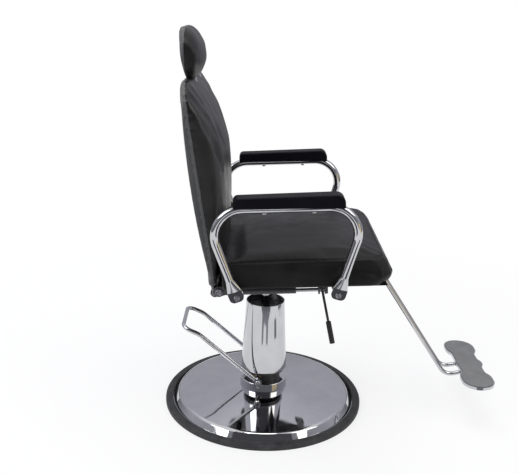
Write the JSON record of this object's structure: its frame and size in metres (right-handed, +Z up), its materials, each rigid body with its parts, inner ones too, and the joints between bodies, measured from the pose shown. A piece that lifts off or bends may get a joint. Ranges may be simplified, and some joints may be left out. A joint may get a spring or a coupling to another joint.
{
  "type": "hydraulic barber chair",
  "caption": "Reclining barber chair with a chrome hydraulic pump base, foot pedal, swivel seat, loop arms, sliding headrest and a bent-rod footrest.",
  "frame": {"origin": "on the floor, on the axis of the pump", "axes": "+Z up, -Y the way the sitter faces, -X the sitter's right"},
  "size_m": [0.597, 0.9428, 1.0745],
  "materials": {
    "chrome": "polished",
    "rubber": "matt black",
    "tread_rubber": "matt grey",
    "black_paint": "satin black",
    "steel_arms": "bare steel",
    "zinc": "zinc plated",
    "bronze": "plain bearing bronze",
    "plywood": "raw plywood",
    "vinyl": "smooth black vinyl, low gloss",
    "grey_vinyl": "smooth dark vinyl",
    "arm_pad": "moulded, soft gloss",
    "nylon": "matt black"
  },
  "bodies": {
    "base": {"base_edge_trim": "rubber", "base_disc": "chrome", "clamp_plate": "black_paint", "base_bolts": "zinc", "base_collar": "chrome", "pump_body": "black_paint", "shaft_bushes": "bronze", "ram_seal": "rubber", "pump_sleeve": "chrome", "sleeve_cap": "black_paint"},
    "pedal": {"pedal_shaft": "zinc", "pedal_lever": "chrome", "pedal_screws": "zinc", "pump_cam": "zinc"},
    "plunger": {"pump_plunger": "zinc"},
    "lift_ram": {"ram": "chrome", "swivel_washer": "bronze"},
    "seat": {"seat_mount": "black_paint", "mount_bolts": "zinc", "seat_board": "plywood", "seat_cushion": "vinyl", "front_cross_bar": "black_paint", "rear_cross_bar": "black_paint", "bar_screws": "zinc", "right_arm_tube": "chrome", "left_arm_tube": "chrome", "arm_bolts": "zinc", "right_arm_pad": "arm_pad", "left_arm_pad": "arm_pad", "pad_screws": "zinc", "hinge_lugs": "black_paint", "hinge_bolts": "zinc", "strut_bracket": "black_paint", "bracket_screws": "zinc", "release_head": "black_paint", "gas_rod": "chrome", "lever_pin": "zinc", "footrest_sockets": "black_paint", "socket_screws": "zinc", "footrest_rods": "chrome", "footrest_tray": "chrome", "footrest_pad": "tread_rubber"},
    "back": {"back_cross_tube": "black_paint", "hinge_bushes": "bronze", "back_arms": "steel_arms", "back_arm_bolts": "zinc", "crank_fork": "black_paint", "crank_pin": "zinc", "back_board": "plywood", "back_cushion": "vinyl", "back_panel": "grey_vinyl", "post_guides": "nylon"},
    "headrest": {"headrest_posts": "chrome", "headrest_board": "plywood", "headrest_cushion": "vinyl", "headrest_panel": "grey_vinyl"},
    "strut": {"gas_cylinder": "black_paint"},
    "release": {"release_lever": "black_paint", "lever_grip": "nylon"}
  },
  "joints": [
    {"name": "lift", "type": "slide", "parent": "base", "child": "lift_ram", "axis": [0, 0, 1], "range_m": [0, 0.14]},
    {"name": "swivel", "type": "hinge", "parent": "lift_ram", "child": "seat", "pos_m": [0, 0, 0.418], "axis": [0, 0, 1], "continuous": true},
    {"name": "pedal_hinge", "type": "hinge", "parent": "base", "child": "pedal", "pos_m": [0, 0.017, 0.09], "axis": [-1, 0, 0], "range_deg": [0, 28], "stiffness_Nm_per_rad": 3, "springref_deg": -34.38},
    {"name": "plunger_slide", "type": "slide", "parent": "base", "child": "plunger", "axis": [0, 0, 1], "range_m": [0, 0.008]},
    {"name": "recline", "type": "hinge", "parent": "seat", "child": "back", "pos_m": [0, 0.12487, 0.41981], "axis": [-1, 0, 0], "range_deg": [0, 50]},
    {"name": "headrest_slide", "type": "slide", "parent": "back", "child": "headrest", "axis": [0, 0.1564, 0.9877], "range_m": [0, 0.08]},
    {"name": "strut_slide", "type": "slide", "parent": "seat", "child": "strut", "axis": [0, -0.9985, 0.0541], "range_m": [0, 0.0329]},
    {"name": "release_hinge", "type": "hinge", "parent": "seat", "child": "release", "pos_m": [-0.12, -0.15077, 0.39779], "axis": [0, 0.9985, -0.0541], "range_deg": [0, 15], "stiffness_Nm_per_rad": 0.1, "springref_deg": -17.19}
  ],
  "couplings": [
    {"joint": "plunger_slide", "follows": "pedal_hinge", "m_per_rad": 0.0163},
    {"joint": "strut_slide", "follows": "recline", "m_per_rad": 0.037484}
  ]
}
